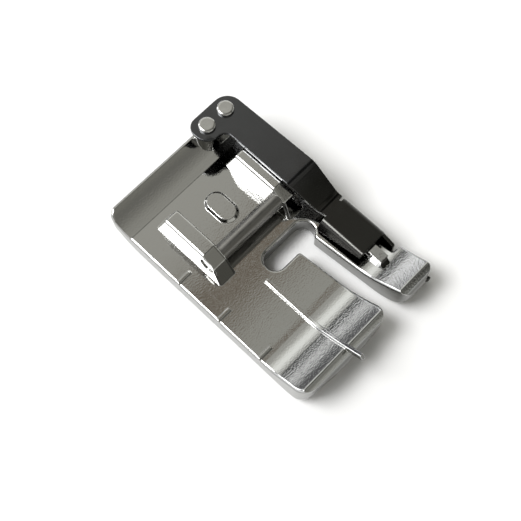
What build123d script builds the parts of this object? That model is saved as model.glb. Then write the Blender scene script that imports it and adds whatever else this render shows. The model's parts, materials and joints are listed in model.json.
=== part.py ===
from build123d import *
import os
from math import radians, tan

os.makedirs("parts", exist_ok=True)

# A clip-on presser foot for quarter-inch seams, with a sprung edge guide.
# Seen from the operator's seat: X to the right, Y to the back, Z up, in millimetres.
# The origin is the middle of the cross pin's axis. Heights are above the sole's top face.

# Seam and needle
seam_width = 6.35
needle_x = 3.7
needle_y = -4.8

# Cross pin
pin_diameter = 2.0
pin_rise = 2.3
pin_end_recess = 0.15

# Pin blocks
claw_width = 9.0
block_width = 2.2
block_draft = 3.0
block_crown_wall = 0.7
block_brow_drop = 0.4
block_brow_wall = 0.1
block_foot_wall = 1.4
block_crown_start = 0.6
block_crown_length = 6.1
block_heel_length = 1.6
block_edge_radius = 0.35

# Sole
sole_thickness = 2.4
sole_left = 10.0
toe_edge_clearance = 0.3
rim_radius = 0.3

# Rear lip
rear_reach = 13.1
rear_corner_radius = 1.25
crease_y = 9.3
crease_run = 0.25
crease_rise = 0.1
lip_rise = 1.9
lip_sag = 0.1
lip_thickness = 1.3
lip_bend_start = 7.5

# Toes
toe_bend_start = 11.0
toe_ease_radius = 20.0
toe_ease_angle = 2.5
toe_bend_radius = 6.5
toe_bend_angle = 21.5
toe_sweep_radius = 24.0
toe_sweep_angle = 8.6
nose_bend_start = 14.6
nose_radius = 4.2
nose_angle = 65.0
nose_bow = 0.8
left_bow_radius = 25.0
right_bow_radius = 4.0
left_nose_outer_radius = 1.6
left_nose_inner_radius = 1.5
right_nose_inner_radius = 1.3
right_nose_outer_radius = 1.1

# Needle slot and the gap between the toes
slot_length = 7.4
slot_width = 2.7
slot_x = 2.2
slot_y = -4.35
slot_mouth_radius = 0.4
toe_gap = 2.5
toe_gap_splay = 4.5

# Ear of the right nose, which roofs the fence
ear_start = 13.5
ear_width = 1.2
ear_underside = -0.35
ear_corner_radius = 0.4

# Ridge and pointer on the left toe
ridge_x = -2.75
ridge_start = 5.4
ridge_width = 0.55
ridge_height = 0.4
pointer_length = 2.7

# Raised distance bars on the left edge
bar_length = 2.0
bar_width = 0.5
bar_height = 0.3

# Plain raised pad between the blocks
pad_x = 0.15
pad_y = 4.6
pad_length = 4.5
pad_width = 2.8
pad_height = 0.35
pad_draft = 40.0

# Rivet boss, rivets and the leaf's pad
boss_height = 4.3
boss_radius = 1.15
boss_setback = 0.2
boss_draft = 2.0
rivet_x = 6.4
rivet_y = 11.4
rivet_pitch = 3.0
rivet_head_diameter = 2.05
rivet_head_height = 0.45
rivet_head_edge = 0.25
rivet_shank_diameter = 1.2
rivet_shank_length = 3.2
rivet_hole_clearance = 0.1

# Leaf
leaf_thickness = 0.45
leaf_pad_radius = 1.85
leaf_pad_rear = 1.7
leaf_pad_corner_radius = 1.4
leaf_heel_radius = 2.0
leaf_pad_neck_radius = 1.0
leaf_strip_width = 3.9
leaf_strip_inset = 0.65
leaf_bend_radius = 1.5
ramp_start = 0.5
ramp_end = 4.2
ramp_taper = 1.2
ramp_inset = 0.2

# Front channel of the leaf and its fence
channel_height = 1.8
channel_start = 5.3
channel_end = 11.5
channel_width = 4.15
channel_bend_radius = 0.8
flange_clearance = 0.3
flange_splay = 0.7
flange_tip = 0.15
relief_length = 0.3
fence_drop = 0.6
fence_slope = 0.5
fence_step_y = 13.1
fence_corner_radius = 0.8
blade_height = 1.3
blade_reach = 18.4
blade_flare = 0.7
blade_flare_length = 2.0
blade_flare_radius = 3.0

# Rail on the right toe, inside the channel
rail_width = 1.25
rail_end = 13.5
rail_inset = 0.7
rail_clearance = 0.3

# Edges of the ridge and bars
relief_edge_radius = 0.15

# Worked out from the sizes above
sole_top = -pin_rise
sole_bottom = -sole_thickness
fence_inner = needle_x + seam_width
fence_outer = fence_inner + leaf_thickness
sole_right = fence_inner - toe_edge_clearance
ear_right = sole_right + ear_width
fence_bottom = sole_bottom - fence_drop
blade_top = fence_bottom + blade_height
block_outer = claw_width / 2 + block_width
pin_radius = pin_diameter / 2
block_height = pin_rise + pin_radius + block_crown_wall
block_brow_height = pin_rise + pin_radius - block_brow_drop
block_front_brow = pin_radius + block_brow_wall
block_front_foot = pin_radius + block_foot_wall
block_rear_crown = block_crown_start + block_crown_length
block_rear_foot = block_rear_crown + block_heel_length
slot_front = slot_y - slot_width / 2
gap_left = needle_x - toe_gap / 2
gap_right = needle_x + toe_gap / 2
gap_slope = tan(radians(toe_gap_splay))
leaf_right = fence_outer - leaf_strip_inset
leaf_left = leaf_right - leaf_strip_width
ramp_right = fence_outer - ramp_inset
leaf_top = boss_height + leaf_thickness
channel_left = fence_outer - channel_width
channel_underside = channel_height - leaf_thickness

# Side view plane (across: Y, up: height), plan view plane (X, Y) and front view plane (X, height)
SIDE = Plane(origin=(0, 0, sole_top), x_dir=(0, 1, 0), z_dir=(1, 0, 0))
PLAN = Plane.XY.offset(sole_top)
FRONT = Plane(origin=(0, 0, sole_top), x_dir=(1, 0, 0), z_dir=(0, -1, 0))
whole_width = 2 * (sole_left + fence_outer)
whole_height = 2 * (sole_thickness + boss_height + lip_rise)
plan_front = nose_bend_start + nose_radius
nose_side = plan_front - nose_bow


def toe_curve(start):
    """Top line of a toe in side view: eased in, bent up, then swept on to the nose."""
    ease = JernArc(start, (-1, 0), toe_ease_radius, -toe_ease_angle)
    bend = JernArc(ease @ 1, ease % 1, toe_bend_radius, -toe_bend_angle)
    return JernArc(bend @ 1, bend % 1, toe_sweep_radius, -toe_sweep_angle)


def gap_edge(start, reach):
    """X of a toe gap edge that starts at the slot and splays to the right towards the front."""
    return start + (reach + slot_front) * gap_slope


def rim_edges(builder):
    """Edges round the faces that look up, without the seams between those faces."""
    faces = builder.faces().filter_by(lambda face: face.normal_at().Z > 0.5)
    edges = [edge for face in faces for edge in face.edges()]
    return [edge for edge in edges if edges.count(edge) == 1]


# Pin block, its sides drafted, rounded on every edge but its foot
with BuildPart() as pin_block:
    with BuildSketch(SIDE.offset(claw_width / 2)):
        with BuildLine():
            Polyline(
                (-block_front_foot, -rim_radius),
                (-block_front_brow, block_brow_height),
                (block_crown_start, block_height),
                (block_rear_crown, block_height),
                (block_rear_foot, -rim_radius),
                close=True,
            )
        make_face()
    extrude(amount=block_width)
    draft(pin_block.faces().filter_by(Axis.X), neutral_plane=Plane.XY, angle=block_draft)
    fillet(pin_block.edges().sort_by(Axis.Z)[4:], radius=block_edge_radius)


# Ridge along the left toe, which runs on past the nose as a pointer
with BuildPart() as ridge:
    with BuildSketch(SIDE.offset(ridge_x)):
        with BuildLine():
            ridge_flat = Line((-ridge_start, 0), (-toe_bend_start, 0))
            ridge_sweep = toe_curve(ridge_flat @ 1)
            PolarLine(ridge_sweep @ 1, pointer_length, direction=ridge_sweep % 1)
        trace(line_width=2 * ridge_height)
    extrude(amount=ridge_width / 2, both=True)
    fillet(rim_edges(ridge), radius=relief_edge_radius)


# Distance bars one seam width apart, the middle one level with the needle
with BuildPart() as bars:
    with BuildSketch(PLAN.offset(-rim_radius)):
        with Locations((-sole_left, needle_y)):
            with GridLocations(0, seam_width, 1, 3):
                Rectangle(bar_length, bar_width, align=(Align.MIN, Align.CENTER))
    extrude(amount=rim_radius + bar_height)
    fillet(rim_edges(bars), radius=relief_edge_radius)


# Sole casting
with BuildPart() as foot_sole:
    # Sled-shaped side view: rear lip, flat, upturned toes, round noses
    with BuildSketch(SIDE):
        with BuildLine():
            lip_chord = ((rear_reach + crease_y) / 2, lip_rise / 2 - lip_sag)
            lip = ThreePointArc((rear_reach, lip_rise), lip_chord, (crease_y + crease_run, crease_rise))
            crease = Line(lip @ 1, (crease_y, 0))
            flat = Line(crease @ 1, (-toe_bend_start, 0))
            toe = toe_curve(flat @ 1)
            lip_end = Line(lip @ 0, (rear_reach, lip_rise - lip_thickness))
            underside_end = (lip_bend_start, sole_bottom)
            lip_under = TangentArc(underside_end, lip_end @ 1, tangent=(1, 0))
            under = Line(underside_end, (-nose_bend_start, sole_bottom))
            nose_under = JernArc(under @ 1, (-1, 0), nose_radius, -nose_angle)
            TangentArc(nose_under @ 1, toe @ 1, tangent=nose_under % 1)
        make_face()
    extrude(amount=whole_width / 2, both=True)

    # Plan view: ear over the fence, needle slot, gap between the toes
    with BuildSketch(PLAN) as outline:
        with BuildLine():
            FilletPolyline(
                (-sole_left, rear_reach),
                (-sole_left, -nose_side),
                ((gap_edge(gap_left, plan_front) - sole_left) / 2, -plan_front),
                (gap_edge(needle_x, plan_front), -nose_side),
                ((gap_edge(gap_right, plan_front) + ear_right) / 2, -plan_front),
                (ear_right, -nose_side),
                (ear_right, -ear_start),
                (sole_right, -ear_start),
                (sole_right, rear_reach),
                radius=[
                    rear_corner_radius,
                    left_nose_outer_radius,
                    left_bow_radius,
                    0,
                    right_bow_radius,
                    right_nose_outer_radius,
                    ear_corner_radius,
                    ear_corner_radius / 2,
                    rear_corner_radius,
                ],
                close=True,
            )
        make_face()
        with Locations((slot_x, slot_y)):
            SlotOverall(slot_length, slot_width, mode=Mode.SUBTRACT)
        with BuildLine():
            Polyline(
                (gap_edge(gap_left, -slot_y), slot_y),
                (gap_edge(gap_left, plan_front), -plan_front),
                (gap_edge(gap_right, plan_front), -plan_front),
                (gap_edge(gap_right, -slot_y), slot_y),
                close=True,
            )
        make_face(mode=Mode.SUBTRACT)
        for corner in ((gap_left, slot_front), (gap_right, slot_front)):
            fillet(outline.vertices().sort_by_distance(corner)[0], radius=slot_mouth_radius)
        for start, radius in ((gap_left, left_nose_inner_radius), (gap_right, right_nose_inner_radius)):
            corner = (gap_edge(start, nose_side), -nose_side)
            fillet(outline.vertices().sort_by_distance(corner)[0], radius=radius)
    extrude(amount=whole_height, both=True, mode=Mode.INTERSECT)

    # Rebate under the ear, where the fence runs
    with BuildSketch(PLAN.offset(ear_underside)):
        with Locations((sole_right, -ear_start)):
            Rectangle(2 * ear_width, plan_front, align=(Align.MIN, Align.MAX))
    extrude(amount=-whole_height, mode=Mode.SUBTRACT)

    # Worn-smooth rim round the top faces
    fillet(rim_edges(foot_sole), radius=rim_radius)

    # Pin blocks
    add(pin_block.part)
    mirror(pin_block.part, about=Plane.YZ)
    with BuildSketch(SIDE):
        with Locations((0, pin_rise)):
            Circle(pin_radius)
    extrude(amount=whole_width / 2, both=True, mode=Mode.SUBTRACT)

    # Rivet boss on the lip
    with BuildSketch(PLAN.offset(boss_height)):
        with Locations((rivet_x, rivet_y + boss_setback)):
            SlotCenterToCenter(rivet_pitch, 2 * boss_radius)
    extrude(amount=-boss_height, taper=-boss_draft)
    with BuildSketch(PLAN.offset(boss_height)):
        with Locations((rivet_x, rivet_y)):
            with GridLocations(rivet_pitch, 0, 2, 1):
                Circle(rivet_shank_diameter / 2)
    extrude(amount=leaf_thickness - rivet_shank_length, mode=Mode.SUBTRACT)

    add(ridge.part)
    add(bars.part)

    # Plain pad
    with BuildSketch(PLAN):
        with Locations((pad_x, pad_y)):
            SlotOverall(pad_length, pad_width, rotation=90)
    extrude(amount=pad_height, taper=pad_draft)

    # Rail inside the guide's channel
    with BuildSketch(PLAN):
        with Locations((channel_left + leaf_thickness + rail_inset, -channel_start)):
            Rectangle(rail_width, rail_end - channel_start, align=(Align.MIN, Align.MAX))
    extrude(amount=channel_underside - rail_clearance)

foot_sole.part.label = "foot_sole"
export_step(foot_sole.part, "parts/foot_sole.step")


# Cross pin
pin_length = 2 * (block_outer - pin_end_recess)
with BuildPart() as cross_pin:
    with BuildSketch(Plane.YZ):
        Circle(pin_radius)
    extrude(amount=pin_length / 2, both=True)

cross_pin.part.label = "cross_pin"
export_step(cross_pin.part, "parts/cross_pin.step")


# Fence: the channel's right wall, with a low blade that runs on under the nose and flares at its tip
with BuildPart() as fence:
    with BuildSketch(PLAN):
        with BuildLine():
            middle = (fence_inner + fence_outer) / 2
            FilletPolyline(
                (middle, -channel_start),
                (middle, -(blade_reach - blade_flare_length)),
                (middle + blade_flare, -blade_reach),
                radius=blade_flare_radius,
            )
        trace(line_width=leaf_thickness)
    extrude(amount=whole_height, both=True)
    with BuildSketch(SIDE):
        with BuildLine():
            FilletPolyline(
                (-channel_start, channel_height - channel_bend_radius),
                (-channel_end, channel_height - channel_bend_radius),
                (-fence_step_y, channel_height - channel_bend_radius - fence_slope),
                (-fence_step_y, blade_top),
                (-blade_reach, blade_top),
                (-blade_reach, fence_bottom),
                (-channel_start, fence_bottom),
                radius=[
                    0,
                    fence_corner_radius,
                    fence_corner_radius / 2,
                    fence_corner_radius / 2,
                    fence_corner_radius / 2,
                    fence_corner_radius,
                    fence_corner_radius,
                ],
                close=True,
            )
        make_face()
    extrude(amount=whole_width, both=True, mode=Mode.INTERSECT)


# Guide leaf: one bent sheet
with BuildPart() as guide_leaf:
    # Joggled strip in side view
    with BuildSketch(SIDE):
        with BuildLine():
            FilletPolyline(
                (rivet_y + leaf_pad_rear, leaf_top - leaf_thickness / 2),
                (-ramp_start, leaf_top - leaf_thickness / 2),
                (-ramp_end, channel_height - leaf_thickness / 2),
                (-channel_end, channel_height - leaf_thickness / 2),
                radius=leaf_bend_radius,
            )
        trace(line_width=leaf_thickness)
    extrude(amount=whole_width / 2, both=True)

    # Blank in plan view: pad round the rivets, strip, tapered ramp, channel top
    with BuildSketch(PLAN):
        with BuildLine():
            lobe_left = rivet_x - rivet_pitch / 2 - leaf_pad_radius
            lobe_front = rivet_y - leaf_pad_radius
            pad_rear = rivet_y + leaf_pad_rear
            channel_right = fence_outer - channel_bend_radius
            FilletPolyline(
                (leaf_right, pad_rear),
                (lobe_left, pad_rear),
                (lobe_left, lobe_front),
                (leaf_left, lobe_front),
                (leaf_left, -ramp_start),
                (leaf_left + ramp_taper, -(channel_start - relief_length)),
                (channel_left + channel_bend_radius, -channel_start),
                (channel_left + channel_bend_radius, -channel_end),
                (channel_right, -channel_end),
                (channel_right, -(channel_start - relief_length)),
                (ramp_right, -(channel_start - relief_length)),
                radius=[
                    leaf_heel_radius,
                    leaf_pad_corner_radius,
                    leaf_pad_radius * 0.95,
                    leaf_pad_neck_radius,
                    leaf_bend_radius,
                    0,
                    0,
                    0,
                    0,
                    0,
                    0,
                ],
                close=True,
            )
        make_face()
        with Locations((rivet_x, rivet_y)):
            with GridLocations(rivet_pitch, 0, 2, 1):
                Circle(rivet_shank_diameter / 2 + rivet_hole_clearance, mode=Mode.SUBTRACT)
    extrude(amount=whole_height, both=True, mode=Mode.INTERSECT)

    # Front channel, folded down on both sides
    with BuildSketch(FRONT.offset(channel_start)):
        with BuildLine():
            FilletPolyline(
                (channel_left + leaf_thickness / 2 - flange_splay, flange_clearance),
                (channel_left + leaf_thickness / 2, channel_height - leaf_thickness / 2),
                (fence_outer - leaf_thickness / 2, channel_height - leaf_thickness / 2),
                (fence_outer - leaf_thickness / 2, flange_clearance),
                radius=channel_bend_radius - leaf_thickness / 2,
            )
        trace(line_width=leaf_thickness)
    extrude(amount=channel_end - channel_start)

    # The left flange runs out towards the front
    with BuildSketch(SIDE.offset(channel_left - channel_width / 2)):
        with BuildLine():
            Polyline(
                (-channel_start, flange_clearance),
                (-channel_end, channel_underside - flange_tip),
                (-channel_end, 0),
                (-channel_start, 0),
                close=True,
            )
        make_face()
    extrude(amount=channel_width, mode=Mode.SUBTRACT)
    add(fence.part)

guide_leaf.part.label = "guide_leaf"
export_step(guide_leaf.part, "parts/guide_leaf.step")


# Rivets
for name, step in (("left", -1), ("right", 1)):
    with BuildPart() as rivet:
        with BuildSketch(PLAN.offset(leaf_top)):
            with Locations((rivet_x + step * rivet_pitch / 2, rivet_y)):
                Circle(rivet_head_diameter / 2)
        extrude(amount=rivet_head_height)
        fillet(rivet.faces().sort_by(Axis.Z)[-1].edges(), radius=rivet_head_edge)
        with BuildSketch(PLAN.offset(leaf_top)):
            with Locations((rivet_x + step * rivet_pitch / 2, rivet_y)):
                Circle(rivet_shank_diameter / 2)
        extrude(amount=-rivet_shank_length)
    rivet.part.label = f"guide_rivet_{name}"
    export_step(rivet.part, f"parts/guide_rivet_{name}.step")
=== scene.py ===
import json
import logging
import math
from dataclasses import dataclass
from enum import Enum
from typing import Any

import bmesh
import bpy
from mathutils import Matrix, Vector

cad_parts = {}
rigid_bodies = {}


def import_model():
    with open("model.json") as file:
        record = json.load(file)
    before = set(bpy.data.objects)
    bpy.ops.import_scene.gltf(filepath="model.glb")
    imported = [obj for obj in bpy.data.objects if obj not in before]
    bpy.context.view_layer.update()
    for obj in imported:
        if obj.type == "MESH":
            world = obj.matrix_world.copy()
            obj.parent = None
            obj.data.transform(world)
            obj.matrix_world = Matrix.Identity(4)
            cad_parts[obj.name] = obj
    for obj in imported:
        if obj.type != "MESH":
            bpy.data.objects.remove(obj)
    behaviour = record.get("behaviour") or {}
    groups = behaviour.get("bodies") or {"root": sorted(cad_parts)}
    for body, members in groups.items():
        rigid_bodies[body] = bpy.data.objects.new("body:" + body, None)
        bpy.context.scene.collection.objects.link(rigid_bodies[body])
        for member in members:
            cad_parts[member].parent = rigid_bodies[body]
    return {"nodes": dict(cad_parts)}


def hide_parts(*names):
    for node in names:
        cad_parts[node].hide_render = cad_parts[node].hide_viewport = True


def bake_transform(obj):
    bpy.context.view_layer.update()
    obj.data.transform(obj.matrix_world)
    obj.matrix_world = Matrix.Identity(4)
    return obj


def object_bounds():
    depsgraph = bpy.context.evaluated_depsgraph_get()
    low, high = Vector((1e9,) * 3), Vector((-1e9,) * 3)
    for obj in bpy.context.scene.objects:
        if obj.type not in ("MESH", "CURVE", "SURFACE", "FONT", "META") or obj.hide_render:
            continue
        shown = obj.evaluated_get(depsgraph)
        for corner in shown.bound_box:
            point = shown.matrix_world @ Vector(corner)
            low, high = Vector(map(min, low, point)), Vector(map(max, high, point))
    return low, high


# The startup file's own objects aren't part of the scene
for startup_object in list(bpy.data.objects):
    bpy.data.objects.remove(startup_object)

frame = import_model()
CAD_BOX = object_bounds()

LOG = logging.getLogger("presser_foot")
MM = 0.001

Triple = tuple[float, float, float]
NodeValue = bpy.types.NodeSocket | float | tuple[float, ...]

# Values of a noise between which its change is drawn: the common ones, and nearly all
NOISE_COMMON = (0.35, 0.65)
NOISE_NEARLY_ALL = (0.25, 0.75)
# Upward part of a face's direction: where it starts to be steep, and where it is fully so
STEEP_UP = (0.7, 0.3)
# Rearward part of a face's direction: where it starts to be a nose's front, and where it fully is
NOSE_REARWARD = (-0.6, -0.85)
# Cosine of the turn that rounding gives an edge: where its painted highlight starts, and where it
# is complete
EDGE_HIGHLIGHT_COSINE = (0.995, 0.86)


class Body(Enum):
    """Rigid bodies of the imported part."""

    FOOT = "foot"
    GUIDE = "guide"


class Slot(Enum):
    """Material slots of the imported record."""

    CHROME_PLATE = "chrome_plate"
    PIN_STEEL = "pin_steel"
    BLACK_SPRING_STEEL = "black_spring_steel"
    RIVET_STEEL = "rivet_steel"


class Sweep(Enum):
    """Ways to measure a direction in the room: along an axis, or in degrees on the arch."""

    X = "X"
    Y = "Y"
    Z = "Z"
    ARCH = "arch"

    def place(self, value: float) -> float:
        """Turns degrees on the arch into a place from 0 to 1, and leaves other measures alone."""
        return value / 360 + 0.5 if self is Sweep.ARCH else value


def linear(colour: str) -> tuple[float, float, float, float]:
    """Turns an sRGB hex colour into linear light.

    Args:
        colour: Six hex digits after a hash.

    Returns:
        Linear red, green, blue and an alpha of one.
    """
    parts = [int(colour[i:i + 2], 16) / 255 for i in (1, 3, 5)]
    light = [p / 12.92 if p <= 0.04045 else ((p + 0.055) / 1.055) ** 2.4 for p in parts]
    return (*light, 1.0)


def per_metre(size_mm: float) -> float:
    """Gives the texture scale whose features are that many millimetres across."""
    return 1.0 / (size_mm * MM)


def add_node(
    tree: bpy.types.NodeTree,
    kind: str,
    inputs: dict[str | int, NodeValue] | None = None,
    **settings: Any,
) -> bpy.types.Node:
    """Adds a node with its settings and links.

    Args:
        tree: The node tree that takes the node.
        kind: The node's type name.
        inputs: Input name or index to a constant, or to the socket that is linked to it.
        settings: The node's own properties.

    Returns:
        The new node.
    """
    node = tree.nodes.new(kind)
    for name, value in settings.items():
        setattr(node, name, value)
    for name, value in (inputs or {}).items():
        if isinstance(value, bpy.types.NodeSocket):
            tree.links.new(value, node.inputs[name])
        else:
            node.inputs[name].default_value = value
    return node


def blank_material(name: str) -> tuple[bpy.types.Material, bpy.types.NodeTree]:
    """Makes a material with an empty node tree.

    Args:
        name: The material's name.

    Returns:
        The material and its node tree.
    """
    material = bpy.data.materials.new(name)
    material.use_nodes = True
    material.node_tree.nodes.clear()
    return material, material.node_tree


@dataclass(frozen=True)
class Surface:
    """A material in the making, and what its patterns are laid out by.

    Attributes:
        tree: The material's node tree.
        place: Place on the part.
        facing: Direction that the face looks in, with its edges still sharp.
    """

    tree: bpy.types.NodeTree
    place: bpy.types.NodeSocket
    facing: bpy.types.NodeSocket


@dataclass(frozen=True)
class MetalFinish:
    """A metal surface: its colour, its gloss, and the two sizes of unevenness that its making left.

    Attributes:
        name: Real material and how its surface was made.
        colour: Reflected colour as sRGB hex.
        roughness_low: Roughness of the smoothest patches.
        roughness_high: Roughness of the dullest patches.
        patch_mm: Width of a patch of one gloss.
        wave_mm: Width of a low wave in the surface.
        wave_height_mm: Height of that wave.
        grain_mm: Width of the fine grain, drawn as coarse as it has to be to show.
        grain_height_mm: Height of that grain.
        edge_mm: Radius of the rounded edges.
        edge_highlight_colour: Reflected colour of the rounded edges as sRGB hex, paler than the
            rest: a painted highlight.
    """

    name: str
    colour: str
    roughness_low: float
    roughness_high: float
    patch_mm: float
    wave_mm: float
    wave_height_mm: float
    grain_mm: float
    grain_height_mm: float
    edge_mm: float
    edge_highlight_colour: str

    def gloss(self, surface: Surface) -> bpy.types.NodeSocket:
        """Changes the roughness from patch to patch.

        Args:
            surface: The material in the making.

        Returns:
            The roughness.
        """
        patches = add_node(
            surface.tree, "ShaderNodeTexNoise",
            {"Vector": surface.place, "Scale": per_metre(self.patch_mm), "Detail": 3.0,
             "Roughness": 0.55},
        )
        return add_node(
            surface.tree, "ShaderNodeMapRange",
            {"Value": patches.outputs["Fac"],
             "From Min": NOISE_COMMON[0], "From Max": NOISE_COMMON[1],
             "To Min": self.roughness_low, "To Max": self.roughness_high},
        ).outputs["Result"]

    def waves(self, surface: Surface) -> bpy.types.NodeSocket:
        """Draws the low waves.

        Args:
            surface: The material in the making.

        Returns:
            Their height, as a share of the full one.
        """
        return add_node(
            surface.tree, "ShaderNodeTexNoise",
            {"Vector": surface.place, "Scale": per_metre(self.wave_mm), "Detail": 1.0},
        ).outputs["Fac"]

    def grain(self, surface: Surface) -> bpy.types.NodeSocket:
        """Draws the fine grain.

        Args:
            surface: The material in the making.

        Returns:
            Its height, as a share of the full one.
        """
        return add_node(
            surface.tree, "ShaderNodeTexNoise",
            {"Vector": surface.place, "Scale": per_metre(self.grain_mm), "Detail": 2.0},
        ).outputs["Fac"]

    def skin(self, surface: Surface) -> NodeValue:
        """Gives the colour between the paler edges, whose colour is a painted highlight, here the
        same all over.
        """
        return linear(self.colour)

    def material(self) -> bpy.types.Material:
        """Builds the finish as a node material.

        Returns:
            The material.
        """
        material, tree = blank_material(self.name)
        surface = Surface(
            tree=tree,
            place=add_node(tree, "ShaderNodeTexCoord").outputs["Object"],
            facing=add_node(tree, "ShaderNodeNewGeometry").outputs["Normal"],
        )
        rounded = add_node(
            tree, "ShaderNodeBevel", {"Radius": self.edge_mm * MM}, samples=6,
        ).outputs["Normal"]
        normal = rounded
        for height, full_mm in (
            (self.waves(surface), self.wave_height_mm),
            (self.grain(surface), self.grain_height_mm),
        ):
            normal = add_node(
                tree, "ShaderNodeBump",
                {"Strength": 1.0, "Distance": full_mm * MM, "Height": height, "Normal": normal},
            ).outputs["Normal"]
        turned = add_node(
            tree, "ShaderNodeVectorMath", {0: surface.facing, 1: rounded}, operation="DOT_PRODUCT",
        )
        highlight_share = add_node(
            tree, "ShaderNodeMapRange",
            {"Value": turned.outputs["Value"],
             "From Min": EDGE_HIGHLIGHT_COSINE[0], "From Max": EDGE_HIGHLIGHT_COSINE[1]},
        )
        # Painted highlight: the rounded edges get a paler colour than the rest of the metal
        colour = add_node(
            tree, "ShaderNodeMix",
            {"Factor": highlight_share.outputs["Result"], "A": self.skin(surface),
             "B": linear(self.edge_highlight_colour)},
            data_type="RGBA",
        )
        shader = add_node(
            tree, "ShaderNodeBsdfPrincipled",
            {"Base Color": colour.outputs["Result"], "Metallic": 1.0,
             "Roughness": self.gloss(surface), "Normal": normal},
        )
        add_node(tree, "ShaderNodeOutputMaterial", {"Surface": shader.outputs["BSDF"]})
        return material


@dataclass(frozen=True)
class ZonedFinish(MetalFinish):
    """A metal surface that changes towards the front of the part and on its steep sides.

    Attributes:
        front_mm: Y where the front's character begins, and where it is complete.
        front_colour: Reflected colour towards the front as sRGB hex; on the black oxide it is
            darker, which is painted shade.
        shaded_side_colour: Darker reflected colour of steep sides as sRGB hex, where it differs:
            painted shade for the shadowed floor they reflect.
        shaded_nose_colour: Darker reflected colour of forward faces at the front as sRGB hex, where
            it differs: painted shade for the shadowed floor ahead of them.
        coarse_gain: How much higher the grain stands at the front.
        side_grain: Share of that extra height on steep sides.
    """

    front_mm: tuple[float, float]
    front_colour: str
    shaded_side_colour: str | None = None
    shaded_nose_colour: str | None = None
    coarse_gain: float = 1.0
    side_grain: float = 0.0

    def front(self, surface: Surface) -> bpy.types.NodeSocket:
        """Marks the front of the part.

        Args:
            surface: The material in the making.

        Returns:
            Zero behind the front and one in it.
        """
        place = add_node(surface.tree, "ShaderNodeSeparateXYZ", {0: surface.place}).outputs
        return add_node(
            surface.tree, "ShaderNodeMapRange",
            {"Value": place["Y"],
             "From Min": self.front_mm[0] * MM, "From Max": self.front_mm[1] * MM},
        ).outputs["Result"]

    def steep(self, surface: Surface) -> bpy.types.NodeSocket:
        """Marks steep sides.

        Args:
            surface: The material in the making.

        Returns:
            Zero on faces that look up and one on steep sides.
        """
        facing = add_node(surface.tree, "ShaderNodeSeparateXYZ", {0: surface.facing}).outputs
        return add_node(
            surface.tree, "ShaderNodeMapRange",
            {"Value": facing["Z"], "From Min": STEEP_UP[0], "From Max": STEEP_UP[1]},
        ).outputs["Result"]

    def nose(self, surface: Surface) -> bpy.types.NodeSocket:
        """Marks the forward faces at the front, where shade is painted.

        Args:
            surface: The material in the making.

        Returns:
            One on those faces and zero elsewhere.
        """
        facing = add_node(surface.tree, "ShaderNodeSeparateXYZ", {0: surface.facing}).outputs
        return add_node(
            surface.tree, "ShaderNodeMapRange",
            {"Value": facing["Y"], "From Min": NOSE_REARWARD[0], "From Max": NOSE_REARWARD[1],
             "To Max": self.front(surface)},
        ).outputs["Result"]

    def grain(self, surface: Surface) -> bpy.types.NodeSocket:
        """Draws the fine grain, higher at the front and on steep sides.

        Args:
            surface: The material in the making.

        Returns:
            Its height, as a share of the even grain's full one.
        """
        even = super().grain(surface)
        if self.coarse_gain == 1.0:
            return even
        tree = surface.tree
        side = add_node(
            tree, "ShaderNodeMath", {0: self.steep(surface), 1: self.side_grain},
            operation="MULTIPLY",
        )
        coarse = add_node(
            tree, "ShaderNodeMath", {0: self.front(surface), 1: side.outputs["Value"]},
            operation="MAXIMUM",
        )
        gain = add_node(
            tree, "ShaderNodeMapRange",
            {"Value": coarse.outputs["Value"], "To Min": 1.0, "To Max": self.coarse_gain},
        )
        return add_node(
            tree, "ShaderNodeMath", {0: even, 1: gain.outputs["Result"]}, operation="MULTIPLY",
        ).outputs["Value"]

    def skin(self, surface: Surface) -> NodeValue:
        """Colours the front, then paints shade on the steep sides, then on the noses.

        Args:
            surface: The material in the making.

        Returns:
            The colour between the worn edges.
        """
        skin = super().skin(surface)
        # The front's colour, then painted shade: darker colours on the steep sides and on the
        # noses' fronts
        for zone, colour in (
            (self.front, self.front_colour),
            (self.steep, self.shaded_side_colour),
            (self.nose, self.shaded_nose_colour),
        ):
            if colour:
                skin = add_node(
                    surface.tree, "ShaderNodeMix",
                    {"Factor": zone(surface), "A": skin, "B": linear(colour)}, data_type="RGBA",
                ).outputs["Result"]
        return skin


# Bright chrome over a buffed casting: a true mirror with slow ripples from the buffing wheel,
# pebbled on steep sides and on the upturned toes, where the wheel can't follow.
# Its steep sides and the fronts of its noses are coloured darker as painted shade, for the shadowed
# floor they reflect, and its edges paler as a painted highlight.
# The pebbles are drawn wider than they are, because finer ones don't show
CHROME = ZonedFinish(
    name="chrome_plate_buffed", colour="#BCBCBA",
    roughness_low=0.03, roughness_high=0.06, patch_mm=3.0,
    wave_mm=2.2, wave_height_mm=0.002, grain_mm=0.19, grain_height_mm=0.0052,
    edge_mm=0.14, edge_highlight_colour="#CCCCCA",
    front_mm=(-10.6, -12.6), front_colour="#BEBFBF", shaded_side_colour="#898987", shaded_nose_colour="#686865",
    coarse_gain=2.2, side_grain=0.5,
)
# Centreless-ground pin steel: dull and grey beside the plate
PIN_STEEL = MetalFinish(
    name="pin_steel_ground", colour="#878683",
    roughness_low=0.28, roughness_high=0.36, patch_mm=1.5,
    wave_mm=1.8, wave_height_mm=0.002, grain_mm=0.2, grain_height_mm=0.0006,
    edge_mm=0.06, edge_highlight_colour="#B5B4B0",
)
# Nickel-plated rivet steel with a soft shine from the heading tool
RIVET_STEEL = MetalFinish(
    name="rivet_steel_nickel_plated", colour="#C0C0BE",
    roughness_low=0.12, roughness_high=0.2, patch_mm=0.8,
    wave_mm=0.9, wave_height_mm=0.006, grain_mm=0.2, grain_height_mm=0.0015,
    edge_mm=0.18, edge_highlight_colour="#D0D0CE",
)
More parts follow.
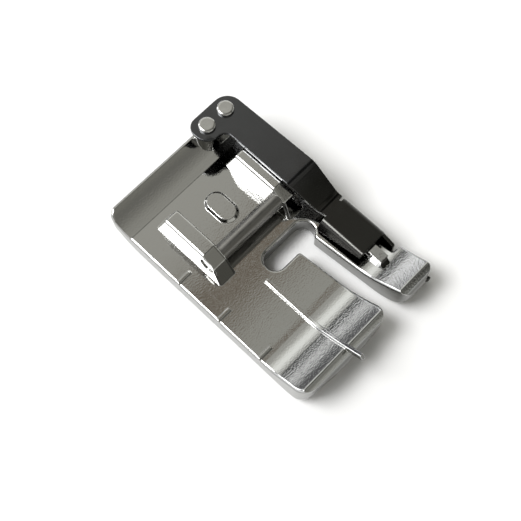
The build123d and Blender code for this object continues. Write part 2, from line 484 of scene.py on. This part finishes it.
# Black-oxide spring steel: a satin skin that reflects about a tenth of the light, coloured half as
# bright on the folded front as painted shade, and paler on the edges as a painted highlight
BLACK_OXIDE = ZonedFinish(
    name="spring_steel_black_oxide", colour="#58595B",
    roughness_low=0.16, roughness_high=0.22, patch_mm=1.6,
    wave_mm=3.0, wave_height_mm=0.002, grain_mm=0.16, grain_height_mm=0.001,
    edge_mm=0.06, edge_highlight_colour="#80807E",
    front_mm=(0.3, -2.2), front_colour="#40403E",
)


@dataclass(frozen=True)
class PaperFinish:
    """White card under the part: matt, with a faint tooth.

    Attributes:
        name: Real material and how its surface was made.
        colour: Card colour as sRGB hex.
        roughness: Roughness of the card.
        shine: Strength of its surface reflection.
        tooth_mm: Width of the card's tooth.
        tooth_height_mm: Height of that tooth.
        tooth_strength: Share of the tooth that shows.
    """

    name: str = "white_card_uncoated"
    colour: str = "#F4F4F4"
    roughness: float = 0.9
    shine: float = 0.1
    tooth_mm: float = 0.4
    tooth_height_mm: float = 0.01
    tooth_strength: float = 0.1

    def material(self) -> bpy.types.Material:
        """Builds the card as a node material.

        Returns:
            The material.
        """
        material, tree = blank_material(self.name)
        place = add_node(tree, "ShaderNodeTexCoord").outputs["Object"]
        tooth = add_node(
            tree, "ShaderNodeTexNoise", {"Vector": place, "Scale": per_metre(self.tooth_mm)},
        )
        bump = add_node(
            tree, "ShaderNodeBump",
            {"Strength": self.tooth_strength, "Distance": self.tooth_height_mm * MM,
             "Height": tooth.outputs["Fac"]},
        )
        shader = add_node(
            tree, "ShaderNodeBsdfPrincipled",
            {"Base Color": linear(self.colour), "Roughness": self.roughness,
             "Specular IOR Level": self.shine, "Normal": bump.outputs["Normal"]},
        )
        add_node(tree, "ShaderNodeOutputMaterial", {"Surface": shader.outputs["BSDF"]})
        return material


def dress(piece: bpy.types.Object, material: bpy.types.Material) -> None:
    """Gives a piece one material all over."""
    piece.data.materials.clear()
    piece.data.materials.append(material)


@dataclass
class FootCasting:
    """The foot's rigid metal: plated sole, pin and rivets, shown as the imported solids.

    Attributes:
        sole: Node of the sole casting.
        pin: Node of the cross pin.
        rivets: Nodes of the rivets.
    """

    sole: str = "foot_sole"
    pin: str = "cross_pin"
    rivets: tuple[str, ...] = ("guide_rivet_left", "guide_rivet_right")

    def build(self) -> list[bpy.types.Object]:
        """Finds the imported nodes, which already ride on the foot, sole first."""
        return [frame["nodes"][name] for name in (self.sole, self.pin, *self.rivets)]

    def dress(self, pieces: list[bpy.types.Object]) -> None:
        """Gives each piece its metal.

        Args:
            pieces: The pieces that build returned.
        """
        sole, pin, *rivets = pieces
        for finish, slot, wearers in (
            (CHROME, Slot.CHROME_PLATE, [sole]),
            (PIN_STEEL, Slot.PIN_STEEL, [pin]),
            (RIVET_STEEL, Slot.RIVET_STEEL, rivets),
        ):
            metal = finish.material()
            for piece in wearers:
                dress(piece, metal)


@dataclass
class GuideLeaf:
    """The spring leaf: a sheet that stays on its boss at the back and flexes towards the front.

    Attributes:
        node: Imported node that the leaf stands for.
        name: Name of the sheet that stands for it.
        flex_start_mm: Y where the leaf leaves the boss.
        flex_end_mm: Y where the leaf is stiff again.
        station_mm: Distance between the cuts that let the sheet bend.
        merge_mm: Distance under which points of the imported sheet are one.
        flat_degrees: Turn under which neighbouring faces are one flat face.
        edge_mm: Width of the deburred edges.
        edge_steps: Faces across a deburred edge.
        sharp_degrees: Turn over which an edge is deburred.
        flat_weight: How far large faces decide the shading; 50 is even.
    """

    node: str = "guide_leaf"
    name: str = "guide_leaf_sheet"
    flex_start_mm: float = 10.0
    flex_end_mm: float = 3.8
    station_mm: float = 0.6
    merge_mm: float = 1e-4
    flat_degrees: float = 0.2
    edge_mm: float = 0.07
    edge_steps: int = 2
    sharp_degrees: float = 40.0
    flat_weight: int = 100

    def cut_sheet(self) -> bpy.types.Mesh:
        """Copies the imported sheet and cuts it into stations.

        Returns:
            The sheet's mesh.
        """
        sheet = bmesh.new()
        sheet.from_mesh(frame["nodes"][self.node].data)
        bmesh.ops.remove_doubles(sheet, verts=sheet.verts, dist=self.merge_mm * MM)
        bmesh.ops.dissolve_limit(
            sheet, angle_limit=math.radians(self.flat_degrees),
            verts=sheet.verts, edges=sheet.edges,
        )
        # One cut at the stiff end, one past the boss's edge, and the stations between them
        cuts = int((self.flex_start_mm - self.flex_end_mm) / self.station_mm) + 2
        for i in range(cuts):
            y = (self.flex_end_mm + i * self.station_mm) * MM
            bmesh.ops.bisect_plane(
                sheet, geom=[*sheet.verts, *sheet.edges, *sheet.faces],
                plane_co=(0, y, 0), plane_no=(0, 1, 0),
            )
        mesh = bpy.data.meshes.new(self.name)
        sheet.to_mesh(mesh)
        sheet.free()
        for face in mesh.polygons:
            face.use_smooth = True
        return mesh

    def build(self) -> bpy.types.Object:
        """Makes the leaf from the cut sheet and rounds its edges.

        Returns:
            The leaf.
        """
        leaf = bpy.data.objects.new(self.name, self.cut_sheet())
        bpy.context.scene.collection.objects.link(leaf)
        edges = leaf.modifiers.new("deburred_edges", "BEVEL")
        edges.width = self.edge_mm * MM
        edges.segments = self.edge_steps
        edges.limit_method = "ANGLE"
        edges.angle_limit = math.radians(self.sharp_degrees)
        edges.use_clamp_overlap = False
        shading = leaf.modifiers.new("flat_faces_stay_flat", "WEIGHTED_NORMAL")
        shading.weight = self.flat_weight
        return leaf

    def dress(self, leaf: bpy.types.Object) -> None:
        """Blackens the leaf, bakes its placement into its mesh and hides the imported node.

        Args:
            leaf: The leaf that build returned.
        """
        dress(leaf, BLACK_OXIDE.material())
        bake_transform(leaf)
        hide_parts(self.node)


@dataclass(frozen=True)
class RoomPanel:
    """A card or a flag that stands in the room, with soft sides.

    Attributes:
        name: What it is.
        colour: Its colour as sRGB hex.
        strength: Its brightness.
        cover: Share of the room behind it that it hides.
        sides: How each side is measured, where the panel is clear there and where it is full.
    """

    name: str
    colour: str
    strength: float
    cover: float
    sides: tuple[tuple[Sweep, float, float], ...]

    def build(
        self,
        tree: bpy.types.NodeTree,
        behind: bpy.types.NodeSocket,
        measures: dict[Sweep, bpy.types.NodeSocket],
    ) -> bpy.types.NodeSocket:
        """Stands the panel in the room.

        Args:
            tree: The world's node tree.
            behind: The room behind the panel.
            measures: The direction that is looked in, by each way to measure it.

        Returns:
            The room with the panel in it.
        """
        cover: NodeValue = self.cover
        for sweep, clear, full in self.sides:
            side = add_node(
                tree, "ShaderNodeMapRange",
                {"Value": measures[sweep],
                 "From Min": sweep.place(clear), "From Max": sweep.place(full)},
                interpolation_type="SMOOTHSTEP",
            )
            cover = add_node(
                tree, "ShaderNodeMath", {0: side.outputs["Result"], 1: cover},
                operation="MULTIPLY",
            ).outputs["Value"]
        board = add_node(
            tree, "ShaderNodeBackground",
            {"Color": linear(self.colour), "Strength": self.strength}, label=self.name,
        )
        return add_node(
            tree, "ShaderNodeMixShader", {0: cover, 1: behind, 2: board.outputs["Background"]},
        ).outputs["Shader"]


@dataclass
class Studio:
    """White card, soft light, the room round them and the camera.

    Attributes:
        floor_mm: Side of the card.
        floor_gap_mm: Room between the part's lowest point and the card.
        softbox_direction: From the part to the softbox.
        softbox_distance_mm: From the part to the softbox.
        softbox_mm: Side of the softbox.
        softbox_watts: Its radiant power.
        camera_mm: Camera position.
        camera_right: Direction of the picture's right.
        camera_down: Direction of the picture's bottom.
        camera_ahead: Direction of view.
        camera_range_mm: Nearest and farthest distance that the camera sees.
        lens_mm: Focal length on a 36 mm wide sensor.
        bands: Colours of the room round the part, each with its angle up from the rear horizon.
        band_strength: Brightness of those colours.
        band_wander: How far the bands wander, as a share of a turn.
        wander_scale: How often they wander along a stretch as long as the room's radius.
        panels: Cards and flags in the room, each over the ones before it.
    """

    floor_mm: float = 8000.0
    floor_gap_mm: float = 0.01
    softbox_direction: Triple = (-0.43, 0.36, 0.83)
    softbox_distance_mm: float = 1500.0
    softbox_mm: float = 740.0
    softbox_watts: float = 21.5
    camera_mm: Triple = (-29.72, -30.91, 104.11)
    camera_right: Triple = (0.6947, -0.7193, -0.0024)
    camera_down: Triple = (-0.6748, -0.6506, -0.3484)
    camera_ahead: Triple = (0.249, 0.2437, -0.9373)
    camera_range_mm: tuple[float, float] = (1.0, 10000.0)
    lens_mm: float = 68.755
    bands: tuple[tuple[float, str], ...] = (
        (-180, "#A8A8A4"), (-90, "#A8A8A6"), (0, "#626263"), (20, "#5A5A5C"), (23, "#70706E"),
        (26, "#F4F4F2"), (28, "#F4F4F2"), (29.8, "#1E1E1C"), (34, "#1E1E1C"), (38, "#B8B7B2"),
        (46, "#F8F8F2"), (54, "#F4F4EE"), (62, "#C6C5BE"), (66, "#A9A8A2"), (73.5, "#A5A49E"),
        (74.5, "#5F5244"), (75.3, "#887F73"), (76.3, "#5B4F41"), (77.4, "#A2A19B"),
        (81, "#A0A09A"), (86, "#2E2E2B"), (107, "#2E2E2B"), (110, "#9A9993"),
        (115.5, "#9A9993"), (119, "#8A8983"), (122, "#75746F"), (124.5, "#6B6A66"),
        (127.5, "#807F78"), (133, "#84837C"), (141, "#76756F"), (155, "#8C8B84"),
        (180, "#D8D8D2"),
    )
    band_strength: float = 1.41
    band_wander: float = 0.008
    wander_scale: float = 110.0
    panels: tuple[RoomPanel, ...] = (
        RoomPanel(
            name="flag_right", colour="#000000", strength=0.0, cover=0.7,
            sides=((Sweep.X, 0.30, 0.335), (Sweep.X, 0.66, 0.52), (Sweep.ARCH, 100, 130)),
        ),
        RoomPanel(
            name="card_right_rear", colour="#EEEEEE", strength=1.9, cover=0.8,
            sides=((Sweep.X, 0.315, 0.35), (Sweep.ARCH, 13, 20), (Sweep.ARCH, 30, 26)),
        ),
        RoomPanel(
            name="card_left", colour="#FFFFFF", strength=0.65, cover=1.0,
            sides=((Sweep.X, -0.1, -0.2), (Sweep.Y, -0.25, 0.0), (Sweep.Z, 0.04, 0.14)),
        ),
        RoomPanel(
            name="card_left_foot", colour="#FFFFFF", strength=1.7, cover=1.0,
            sides=((Sweep.X, -0.1, -0.2), (Sweep.Y, -0.25, 0.0),
                   (Sweep.Z, 0.04, 0.14), (Sweep.Z, 0.5, 0.3)),
        ),
        RoomPanel(
            name="window_left_rear", colour="#FFFFFF", strength=6.0, cover=1.0,
            sides=((Sweep.X, -0.12, -0.2), (Sweep.X, -0.42, -0.36), (Sweep.Y, 0.72, 0.82),
                   (Sweep.Z, 0.12, 0.22), (Sweep.Z, 0.6, 0.5)),
        ),
    )

    def build_floor(self) -> None:
        """Lays the card just under the part's lowest point."""
        half = self.floor_mm * MM / 2
        low = CAD_BOX[0].z - self.floor_gap_mm * MM
        corners = [(-half, -half, low), (half, -half, low), (half, half, low), (-half, half, low)]
        mesh = bpy.data.meshes.new("card_floor")
        mesh.from_pydata(corners, [], [(0, 1, 2, 3)])
        floor = bpy.data.objects.new("card_floor", mesh)
        bpy.context.scene.collection.objects.link(floor)
        dress(floor, PaperFinish().material())

    def build_softbox(self) -> None:
        """Hangs a square softbox that faces the part."""
        light = bpy.data.lights.new("softbox_left", "AREA")
        light.size = self.softbox_mm * MM
        light.energy = self.softbox_watts
        box = bpy.data.objects.new("softbox_left", light)
        bpy.context.scene.collection.objects.link(box)
        ray = Vector(self.softbox_direction).normalized()
        box.location = ray * self.softbox_distance_mm * MM
        box.rotation_mode = "QUATERNION"
        box.rotation_quaternion = ray.to_track_quat("Z", "Y")

    def arch_place(
        self,
        tree: bpy.types.NodeTree,
        way: bpy.types.NodeSocket,
        axes: bpy.types.NodeOutputs,
    ) -> bpy.types.NodeSocket:
        """Finds where on the arch of bands a direction lies.

        Args:
            tree: The world's node tree.
            way: The direction that is looked in.
            axes: Its parts along the axes.

        Returns:
            The place from 0 to 1, with the wander that keeps the bands from being straight.
        """
        angle = add_node(
            tree, "ShaderNodeMath", {0: axes["Z"], 1: axes["Y"]}, operation="ARCTAN2",
        )
        turn = add_node(
            tree, "ShaderNodeMath", {0: angle.outputs["Value"], 1: math.tau}, operation="DIVIDE",
        )
        patches = add_node(
            tree, "ShaderNodeTexNoise",
            {"Vector": way, "Scale": self.wander_scale, "Detail": 2.0},
        )
        rear = Sweep.ARCH.place(0)
        wander = add_node(
            tree, "ShaderNodeMapRange",
            {"Value": patches.outputs["Fac"],
             "From Min": NOISE_NEARLY_ALL[0], "From Max": NOISE_NEARLY_ALL[1],
             "To Min": rear - self.band_wander / 2, "To Max": rear + self.band_wander / 2},
        )
        return add_node(
            tree, "ShaderNodeMath", {0: turn.outputs["Value"], 1: wander.outputs["Result"]},
            operation="ADD", use_clamp=True,
        ).outputs["Value"]

    def build_world(self) -> None:
        """Paints the room: bands that arch over the part from the rear, and panels before them."""
        world = bpy.data.worlds.new("studio_room")
        bpy.context.scene.world = world
        world.use_nodes = True
        tree = world.node_tree
        tree.nodes.clear()
        way = add_node(tree, "ShaderNodeTexCoord").outputs["Generated"]
        axes = add_node(tree, "ShaderNodeSeparateXYZ", {0: way}).outputs
        place = self.arch_place(tree, way, axes)
        arch = add_node(tree, "ShaderNodeValToRGB", {"Fac": place})
        stops = arch.color_ramp.elements
        while len(stops) < len(self.bands):
            stops.new(1.0)
        for stop, (degrees, colour) in zip(stops, self.bands):
            stop.position = Sweep.ARCH.place(degrees)
            stop.color = linear(colour)
        room = add_node(
            tree, "ShaderNodeBackground",
            {"Color": arch.outputs["Color"], "Strength": self.band_strength},
        ).outputs["Background"]
        measures = {sweep: axes[sweep.value] for sweep in (Sweep.X, Sweep.Y, Sweep.Z)}
        measures[Sweep.ARCH] = place
        for panel in self.panels:
            room = panel.build(tree, room, measures)
        add_node(tree, "ShaderNodeOutputWorld", {"Surface": room})

    def build_camera(self) -> None:
        """Stands the camera where the picture was taken from."""
        data = bpy.data.cameras.new("camera")
        data.lens = self.lens_mm
        data.clip_start, data.clip_end = (limit * MM for limit in self.camera_range_mm)
        camera = bpy.data.objects.new("camera", data)
        bpy.context.scene.collection.objects.link(camera)
        axes = (Vector(self.camera_right), -Vector(self.camera_down), -Vector(self.camera_ahead))
        turn = Matrix([axis.normalized() for axis in axes]).transposed().to_4x4()
        camera.matrix_world = Matrix.Translation(Vector(self.camera_mm) * MM) @ turn
        bpy.context.scene.camera = camera

    def build(self) -> None:
        """Sets up the floor, the light, the room and the camera."""
        self.build_floor()
        self.build_softbox()
        self.build_world()
        self.build_camera()
        scene = bpy.context.scene
        scene.view_settings.view_transform = "Standard"
        scene.cycles.use_denoising = True


def main() -> None:
    """Builds and dresses the sub-assemblies in order."""
    logging.basicConfig(level=logging.INFO, format="%(name)s: %(message)s")
    foot = FootCasting()
    pieces = foot.build()
    foot.dress(pieces)
    for piece in pieces:
        LOG.info("dressed %s", piece.name)
    guide = GuideLeaf()
    leaf = guide.build()
    guide.dress(leaf)
    LOG.info("built %s", leaf.name)
    Studio().build()
    LOG.info("set up the studio")


if __name__ == "__main__":
    main()
